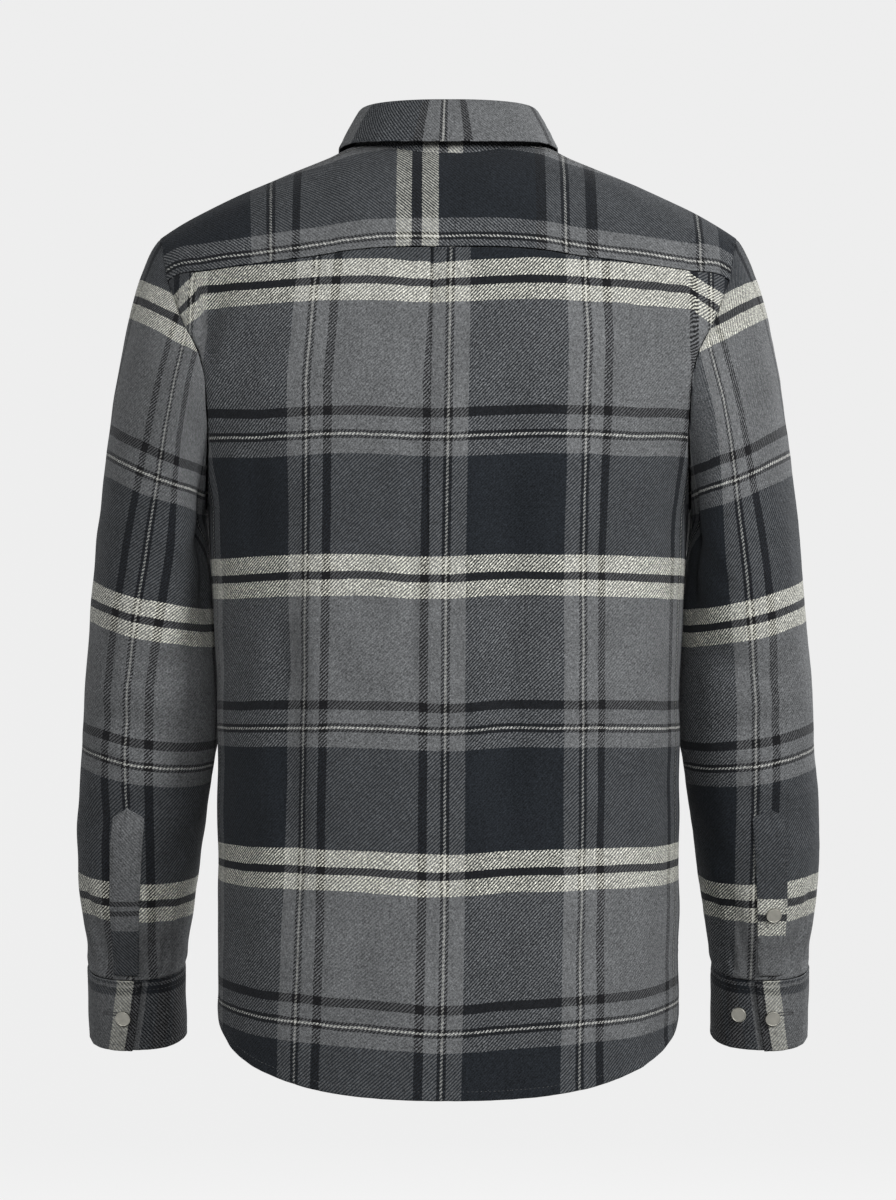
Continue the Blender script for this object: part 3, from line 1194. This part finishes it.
def build_sleeve(side):
    angles = np.linspace(0, 360, 109)[:-1]
    # finer columns under the placket and beside the underarm seam
    angles = np.concatenate([angles[(angles < 79) | (angles > 116)], np.arange(80, 115, 1.2), SEAM_TURNS])
    angles = np.unique(np.round(angles, 3))
    ts = np.concatenate([np.array([0, 0.6, 1.4, 2.4, 3.4, 4.4, 5.6, 7.2, 9.5]) / 200, np.linspace(0.062, 1, 62)[:-1]])
    levels = np.arange(SLEEVE_TOP, SLEEVE_END + 12, -3.2)
    levels = np.concatenate([levels, SLEEVE_END + np.array([9, 6.5, 4.5, 3, 1.5, 0])])
    cap = cap_point(angles[None], ts[:, None] + 0 * angles[None])
    ring = sleeve_ring(angles[None], levels[:, None] + 0 * angles[None])
    plain = np.concatenate([cap, ring])
    level = np.concatenate([np.zeros(len(ts)), levels])[:, None] + 0 * angles
    turn = np.broadcast_to(angles, level.shape)
    z = plain[..., 2]
    calm = smooth(-330, -380, z) * smooth(-661, -655, np.where(level < 0, level, -400))
    cloth = Cloth(plain, sleeve_outward(plain), closed=True)
    cloth.normals[0] = seam_normal(angles, cloth.normals[0])
    arc = turn * FOLD_ARC
    height = fold_depth(arc, z, on_arc(SLEEVE_FOLDS)) * calm
    end = smooth(0, 10, cloth.up)
    height += fold_depth(arc, z, on_arc(SLEEVE_CREASES)) * smooth(0, 24, cloth.down) * end
    waves = 0.5 * ripple(arc, z, 55, 51 + side) + 0.2 * ripple(arc, z, 22, 53 + side)
    height += waves * smooth(0, 20, cloth.down) * end
    height += pucker(arc * 0.8, cloth.down, 10, 55, 0.4, 9) - 0.4 * smooth(2, 0, cloth.down)
    height += pucker(arc, cloth.up, 22, 56, 0.8, 12) * end
    height += groove(np.minimum(turn, 360 - turn) * FOLD_ARC, 0, 1.0, 0.5)
    for angle, width, depth in CUFF_TUCKS:
        away = (turn - angle) * 0.72
        lean = np.where(away < 0, away / (width * 0.35), away / width)
        height += depth * np.exp(-(lean**2)) * smooth(92, 4, cloth.up) * end
    cloth.points = cloth.points + cloth.normals * height[..., None]
    cloth.normals = grid_normals(cloth.points, True, sleeve_outward(cloth.points))

    # the plaid lies by length either side of the pale line down the back
    round_run = run_across(np.concatenate([plain, plain[:, :1]], 1))
    back = (turn > 8) & (turn < 172)
    across = np.empty(round_run.shape)
    for i in range(len(plain)):
        js = np.where(back[i])[0]
        goal = np.interp(-plain[i, js, 2], *SLEEVE_LINE[side])
        j = np.interp(0, plain[i, js, 0] - goal, js)
        at = np.interp(j, np.arange(round_run.shape[1]), round_run[i])
        across[i] = (at - round_run[i]) * side
    outer_share = ((1 - np.cos(turn * DEG)) / 2) ** 1.8
    inner_share = ((1 + np.cos(turn * DEG)) / 2) ** 3
    lift = np.interp(-level, [362, 500, 590, 660], [22, 19, 10, 8])
    sink = np.interp(-level, [362, 480, 660], [-2, 5, 8])
    along = -plain[..., 2] + lift * outer_share + sink * inner_share
    first = len(ts)
    for i in range(first - 1, -1, -1):
        along[i] = along[i + 1] - np.linalg.norm(plain[i + 1] - plain[i], axis=-1)
    along[:first] += SHOULDER_EASE * outer_share[:first] * smooth(0, 240, along[first] - along[:first])
    along = np.concatenate([along, along[:, :1]], 1)
    cloth.uv = np.stack([across, along], -1)
    cloth.angles = angles
    cloth.level = level
    return cloth


PLACKET_SIDES = (84.5, 109.5)
PLACKET_TOP = 517.6


def build_placket(sleeve):
    """The strip sewn over the sleeve's slit: a point at its top, a box of stitching under it."""
    first, last = (int(np.argmin(np.abs(sleeve.angles - side))) for side in PLACKET_SIDES)
    levels = sleeve.level[:, 0]
    js = np.linspace(first, last, 31)
    low = SLEEVE_END + 4.7
    down = np.concatenate([np.linspace(-518, -526, 9), np.arange(-528, low, -2.2), [low]])
    grid, normals = [], []
    for z in down:
        i = np.interp(-z, -levels[levels < 0], np.where(levels < 0)[0])
        span = np.clip((-PLACKET_TOP - z) / 8.0, 0.05, 1.0)
        place = (first + last) / 2 + (js - (first + last) / 2) * span
        points, normal = sleeve.at(np.full(len(js), i), place)
        tip = 0.8 * smooth(-526, -518, z)
        grid.append(points + normal * (0.45 + WALL + tip))
        normals.append(normal)
    grid = np.array(grid)
    cloth = Cloth(grid, np.array(normals))
    edge = np.minimum(cloth.left, cloth.right)
    height = groove(edge, 1.9, 0.7, 0.28) + groove(cloth.down, 23.5, 0.9, 0.35)
    height += pucker(cloth.down, edge, 5, 61, 0.22, 9)
    height += 0.2 * ripple(cloth.left, cloth.down, 34, 62) * smooth(0, 6, edge)
    cloth.lift(height)
    level = -down[:, None] - PLACKET_TOP + 0 * cloth.down
    cloth.uv = np.stack([cloth.left - cloth.left[:, -1:] / 2, level * 1.01], -1)
    return cloth


def cuff_point(angle, t, lift=0.0):
    turn, pitch = angle * DEG, CUFF_PITCH * DEG
    outer_lap = 1 - smooth(CUFF_LAP_END + 58, CUFF_LAP_END + 80, angle)
    inner_lap = smooth(360 + CUFF_LAP_END - 34, 360 + CUFF_LAP_END - 8, angle)
    extra = CUFF_LAP_STEP * (outer_lap - inner_lap) + lift
    across = -power(np.cos(turn), 2 / SLEEVE_POWER) * (CUFF_HALF_WIDTH + extra)
    deep = power(np.sin(turn), 2 / SLEEVE_POWER) * (CUFF_HALF_DEPTH + extra)
    down = t * CUFF_HEIGHT
    x, y, z = CUFF_CENTRE
    point_y = y - down * math.sin(pitch) + deep * math.cos(pitch)
    return np.stack([x + across, point_y, z - down * math.cos(pitch) - deep * math.sin(pitch)], -1)


PLACKET_WALL = 1.1
CUFF_TOP_STEPS = [0, 0.6, 1.4, 2.4, 3.6, 4.6, 5.6, 7, 8.6]
CUFF_LOW_STEPS = CUFF_TOP_STEPS[:-2]


def cuff_spot(angle, t):
    """A place on the cuff's face, its outward normal and the way round the cuff."""
    spot = cuff_point(np.array(float(angle)), t)
    ahead = cuff_point(np.array(angle + 2.0), t) - cuff_point(np.array(angle - 2.0), t)
    normal = np.cross(ahead, cuff_point(np.array(float(angle)), t + 0.1) - spot)
    opposite = cuff_point(np.array(angle + 180.0), t)
    return spot, normal if np.dot(normal, spot - opposite) >= 0 else -normal, ahead


def build_cuff(side):
    ends = [step * 1.4 for step in EDGE_STEPS]
    degrees = spaced(np.array([360 + CUFF_LAP]), 3.0, ends, ends)[:, 0]
    share = spaced(np.array([CUFF_HEIGHT]), 2.2, CUFF_TOP_STEPS, CUFF_LOW_STEPS) / CUFF_HEIGHT
    angle = CUFF_LAP_END + degrees[None] + CUFF_LAP_SLANT * share * smooth(60, 0, degrees)[None]
    grid = cuff_point(angle, share + 0 * angle)
    cloth = Cloth(grid, (grid - CUFF_CENTRE) * [1, 1, 0] + [0, 13, 0])
    edge = np.minimum(cloth.left, cloth.right)
    height = groove(cloth.down, 3.0, 0.8, 0.3) + groove(cloth.down, 8.6, 0.8, 0.24) + groove(cloth.up, 5.0, 0.8, 0.3)
    waves = 0.35 * ripple(cloth.left, cloth.down, 38, 71 + side) + pucker(cloth.left, cloth.down, 10, 73, 0.3, 9)
    height += (groove(edge, 4.0, 0.8, 0.3) + waves) * smooth(0, 3, cloth.down)
    height += pucker(cloth.left, cloth.up, 8, 74, 0.3, 9)
    cloth.lift(height)
    cloth.uv = np.stack([cloth.left, cloth.down], -1)
    return cloth


# ---------------------------------------------------------------- buttons and buttonholes
BUTTON_RADIUS = 6.25
BUTTON_SHANK = 0.45
# share of the radius, height
BUTTON_PROFILE = [
    [0.0, 0.0], [0.55, 0.0], [0.84, 0.05], [0.93, 0.22], [0.985, 0.55], [1.0, 1.0], [1.0, 1.75], [0.985, 2.2],
    [0.955, 2.48], [0.92, 2.6], [0.885, 2.58], [0.865, 2.42], [0.85, 2.3], [0.82, 2.28], [0.6, 2.32], [0.3, 2.36],
    [0.0, 2.37],
]


def build_button(node, centre, normal, mirrored=False):
    away = unit(np.asarray(normal, float))
    along = unit(np.array([0, 0, 1]) - away * away[2])
    across = np.cross(along, away)
    turns = np.linspace(0, 2 * math.pi, 49)[:-1, None]
    points = []
    for share, height in BUTTON_PROFILE:
        radius = max(share, 1e-4) * BUTTON_RADIUS
        middle = centre + away * (BUTTON_SHANK + height)
        points.append(middle + across * np.cos(turns) * radius + along * np.sin(turns) * radius)
    quads = ring_quads(len(points), len(turns))
    made = new_mesh(f"{node}_metal", np.concatenate(points), quads, METAL, mirrored=mirrored)
    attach(made, "root")
    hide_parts(node)


def buttonhole(name, centre, normal, along, mirrored=False, length=15.0):
    """A slit bound with close thread."""
    away = unit(np.asarray(normal, float))
    along = unit(along - away * np.dot(along, away))
    across = np.cross(away, along)
    half, radius = length / 2 - 1.3, 1.15
    sweep, turns = np.linspace(-half, half, 24), np.linspace(math.pi / 2, -math.pi / 2, 9)[1:-1]
    path = [(s, radius) for s in sweep] + [(half + radius * math.cos(a), radius * math.sin(a)) for a in turns]
    path += [(-s, -radius) for s in sweep] + [(-half - radius * math.cos(a), -radius * math.sin(a)) for a in turns]
    path = np.array(path)
    ring = centre + along * path[:, :1] + across * path[:, 1:]
    side = unit(np.cross(unit(np.roll(ring, -1, 0) - np.roll(ring, 1, 0)), away))
    thick = 0.62 + 0.06 * np.sin(np.arange(len(path)) * 2.4)[:, None]
    points = []
    for turn in np.arange(6) * math.pi / 3:
        points.append(ring + (side * math.cos(turn) + away * (0.75 * math.sin(turn))) * thick + away * 0.15)
    quads = ring_quads(len(points), len(path), wrap=True)
    made = new_mesh(name, np.concatenate(points), quads, THREAD, mirrored=mirrored)
    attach(made, "root")


# ---------------------------------------------------------------- make the shirt
PLAID_BACK = plaid("plaid_back", WARP, WARP_START, WEFT, WEFT_START)
YOKE_WARP = "D70 G12 |7 G12 K6.5 G74 W12.3 K7.7 W12.3 D75.5 K7.5 G12 |7 G12 K8.5 G67 G12 |7 G12 D72"
PLAID_YOKE = plaid("plaid_yoke", YOKE_WARP, -222.0, "G5 |7.2 G11.5 D76 G12 |7 G12 D70", 0.0)
LEAF_WARP = "D60 K7.5 G13 |7 G12 K7 G76 K7 G30"
PLAID_LEAF = plaid("plaid_leaf", LEAF_WARP, -88.0, "G120 D60", -10.0, weft_share=0.3)
PLAID_STAND = plaid("plaid_stand", "D40 W13 K6.5 W12.3 D75 K7 G12 |7 G12 K8 G60", -60.0, "G60 D60", -10.0, 1.05)
LEFT_SLEEVE_WARP = "G66 K7 G12 |7 G12 D60 G12 |7 G12 K6.5 G66 K7.5 G11.5 |7 G11.5 K7.5"
PLAID_SLEEVE = {
    1: plaid("plaid_sleeve_left", LEFT_SLEEVE_WARP, 22.5, WEFT, 141.0),
    -1: plaid("plaid_sleeve_right", WARP, -91.5, WEFT, 141.0),
}
CUFF_WARP = "K6.5 W13.5 G66 K7 G12 |7 G12 D76 K24 D5 K12 D10 G13 D40"
PLAID_CUFF = plaid("plaid_cuff", CUFF_WARP, 0.0, "D2 G3 D7 G60", 0.0, 0.96, 0.34)
PLAID_PLACKET = {
    1: plaid("plaid_placket_left", "G60", -30.0, "G75 K4.5 G4 K4.5 G13 D60", 0.0),
    -1: plaid("plaid_placket_right", "G60", -30.0, "D73 W13 K6.3 W13 G70", 0.0),
}

back = build_back()
piece = shell("back_cloth", back, PLAID_BACK)
dress(piece, "back_panel")
sewing("back_stitching", [row_line(back, 6.8, below=False)])

yoke = build_yoke()
piece = shell("yoke_cloth", yoke, PLAID_YOKE)
dress(piece, "yoke")
lines = [row_line(yoke, 2.6, below=False), row_line(yoke, 2.6, stop=0.33), row_line(yoke, 2.6, start=0.67)]
sewing("yoke_stitching", lines)

SIDES = ((1, "left"), (-1, "right"))
fronts = {}
for side, name in SIDES:
    front = fronts[side] = build_front(side)
    piece = shell(f"front_{name}_cloth", front, PLAID_BACK, mirrored=side < 0)
    dress(piece, f"front_{name}")
    lines = [row_line(front, 6.8, below=False), column_line(front, 3.2), column_line(front, 30.5)]
    sewing(f"front_{name}_stitching", lines, mirrored=side < 0)

stand = build_stand()
piece = shell("stand_cloth", stand, PLAID_STAND)
dress(piece, "collar_stand")
sewing("stand_stitching", [row_line(stand, 3.0), row_line(stand, 2.6, below=False)])

leaf = build_leaf()
piece = shell("leaf_cloth", leaf, PLAID_LEAF, wall=1.7, both_sides=True)
dress(piece, "collar_leaf")
lines = [column_line(leaf, 5.0, from_left, start=0.3) for from_left in (True, False)]
sewing("leaf_stitching", [row_line(leaf, 5.0, below=False, start=0.02, stop=0.98)] + lines)

# where each cuff's buttons sit: angle round the cuff, share of its height
CUFF_BUTTONS = {
    1: {"cuff_button_left": (98.5, 0.52)},
    -1: {"cuff_button_right_1": (422, 0.5), "cuff_button_right_2": (97.5, 0.52)},
}
for side, name in SIDES:
    flip = side < 0
    sleeve = build_sleeve(side)
    piece = shell(f"sleeve_{name}_cloth", sleeve, PLAID_SLEEVE[side], mirrored=flip)
    dress(piece, f"sleeve_{name}")
    placket = build_placket(sleeve)
    piece = shell(f"placket_{name}_cloth", placket, PLAID_PLACKET[side], wall=PLACKET_WALL, mirrored=flip)
    dress(piece, f"sleeve_placket_{name}")
    lines = [column_line(placket, 1.9, from_left, start=0.08) for from_left in (True, False)]
    lines.append(row_line(placket, 23.5, start=0.08, stop=0.92))
    sewing(f"placket_{name}_stitching", lines, mirrored=flip)
    cuff = build_cuff(side)
    piece = shell(f"cuff_{name}_cloth", cuff, PLAID_CUFF, wall=1.6, mirrored=flip)
    dress(piece, f"cuff_{name}")
    lines = [row_line(cuff, 3.0), row_line(cuff, 8.6), row_line(cuff, 5.0, below=False), column_line(cuff, 4.0)]
    sewing(f"cuff_{name}_stitching", lines, mirrored=flip)
    for button, place in CUFF_BUTTONS[side].items():
        spot, normal, _ = cuff_spot(*place)
        build_button(button, spot, normal, flip)
    buttonhole(f"cuff_{name}_buttonhole", *cuff_spot(112, 0.47), flip)

# the placket button is on the right sleeve, which is made last
low = sleeve.level[:, 0] < 0
i = np.interp(603, -sleeve.level[low, 0], np.where(low)[0])
j = np.interp(97, sleeve.angles, np.arange(len(sleeve.angles)))
spot, normal = (found[0] for found in sleeve.at(np.array([i]), np.array([j])))
build_button("placket_button_right", spot + normal * 1.85, normal, True)

# the left front laps over the right and carries the buttons
front = fronts[1]
j = int(np.argmin(np.abs(front.points[20, :, 0])))
for k, level in enumerate(FRONT_BUTTON_LEVELS, 1):
    i = np.interp(-level, -front.points[:, j, 2], np.arange(len(front.points)))
    spot, normal = (found[0] for found in front.at(np.array([i]), np.array([float(j)])))
    spot, normal = spot * [0, 1, 1], normal * [0, 1, 1]
    build_button(f"front_button_{k}", spot, normal)
    buttonhole(f"front_buttonhole_{k}", spot + [0, 0, -1.0], normal, np.array([0, 0, 1.0]))
normal = np.cross(stand_point(180.0, 0.0) - stand_point(180.0, 1.0), [-1, 0, 0])
build_button("collar_button", stand_point(180.0, 0.5), normal if normal[1] < 0 else -normal)

# ---------------------------------------------------------------- studio, light and camera
# metres
FLOOR = -1.45
LIT_POINT = (0, 0, -0.35)
LAMP_SIZE = 0.8
AMBIENT = 0.07
CAMERA_PLACE = (0.0003, 2.4, -0.3616)


def build_studio():
    """A round pale cove: floor, curved wall and open top, in metres."""
    profile = [(0, FLOOR), (1.2, FLOOR), (2.4, FLOOR)]
    profile += [(3.6 + 1.6 * math.sin(a), FLOOR + 1.6 - 1.6 * math.cos(a)) for a in np.linspace(0, math.pi / 2, 14)]
    profile += [(5.2, FLOOR + 3), (5.2, FLOOR + 5)]
    turns = np.linspace(0, 2 * math.pi, 97)[:-1]
    points = [np.stack([r * np.cos(turns), r * np.sin(turns), 0 * turns + z], 1) for r, z in profile]
    quads = ring_quads(len(profile), len(turns))
    made = new_mesh("studio_floor", np.concatenate(points) / MM, quads, studio_material(glow=0.835, paint=0.08))
    made.visible_diffuse = False


def area_light(name, place, watts):
    lamp = bpy.data.lights.new(name, "AREA")
    lamp.energy = watts
    lamp.size = LAMP_SIZE
    holder = bpy.data.objects.new(name, lamp)
    bpy.context.scene.collection.objects.link(holder)
    holder.location = place
    holder.rotation_euler = (Vector(LIT_POINT) - Vector(place)).to_track_quat("-Z", "Y").to_euler()


build_studio()
world = bpy.data.worlds.new("studio_world")
bpy.context.scene.world = world
world.use_nodes = True
background = world.node_tree.nodes["Background"]
background.inputs["Color"].default_value = (1, 1, 1, 1)
background.inputs["Strength"].default_value = AMBIENT
# the same three lamps at the back and at the front
for side in (1, -1):
    area_light(f"right_{side}", (-2.1, side * 2.0, 0.7), 64)
    area_light(f"left_{side}", (2.0, side * 2.2, 0.7), 17)
    area_light(f"level_{side}", (0.0, side * 3.1, 0.5), 36)

camera = bpy.data.cameras.new("camera")
camera.sensor_width = 36
camera.lens = 90
viewer = bpy.data.objects.new("camera", camera)
bpy.context.scene.collection.objects.link(viewer)
viewer.location = CAMERA_PLACE
viewer.rotation_euler = (math.pi / 2, 0, math.pi)
bpy.context.scene.camera = viewer
bpy.context.scene.view_settings.view_transform = "Standard"
